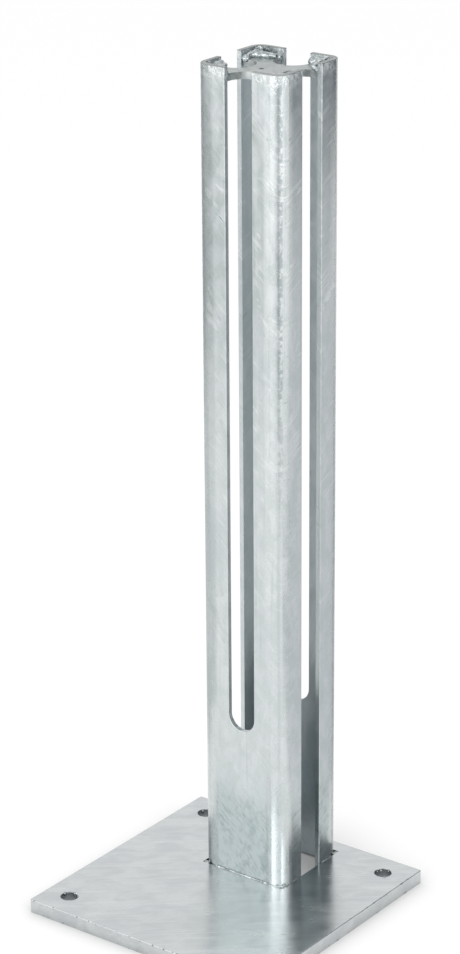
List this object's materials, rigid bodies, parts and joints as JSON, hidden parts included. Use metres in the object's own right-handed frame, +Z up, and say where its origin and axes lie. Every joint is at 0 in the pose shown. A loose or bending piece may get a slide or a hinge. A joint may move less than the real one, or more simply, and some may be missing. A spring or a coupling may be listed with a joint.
{
  "type": "timber post base",
  "caption": "Galvanised post base: a slotted square upright of folded channels, spaced at the top by a scalloped cross plate, stands near one edge of a flat plate with anchor holes.",
  "frame": {"origin": "centre of the base plate's underside", "axes": "+Z up the upright; +Y towards the plate edge that the upright stands close to; +X along that edge"},
  "size_m": [0.2, 0.2, 0.6],
  "materials": {
    "plate_zinc": "hot-dip galvanised, dull",
    "channel_zinc": "hot-dip galvanised, satin",
    "spacer_zinc": "hot-dip galvanised, satin",
    "weld_zinc": "galvanised over a weld bead, bright"
  },
  "bodies": {
    "root": {"base_plate": "plate_zinc", "front_channel": "channel_zinc", "rear_channel": "channel_zinc", "top_spacer_plate": "spacer_zinc", "top_weld_beads": "weld_zinc", "foot_weld_beads": "weld_zinc"}
  },
  "joints": []
}
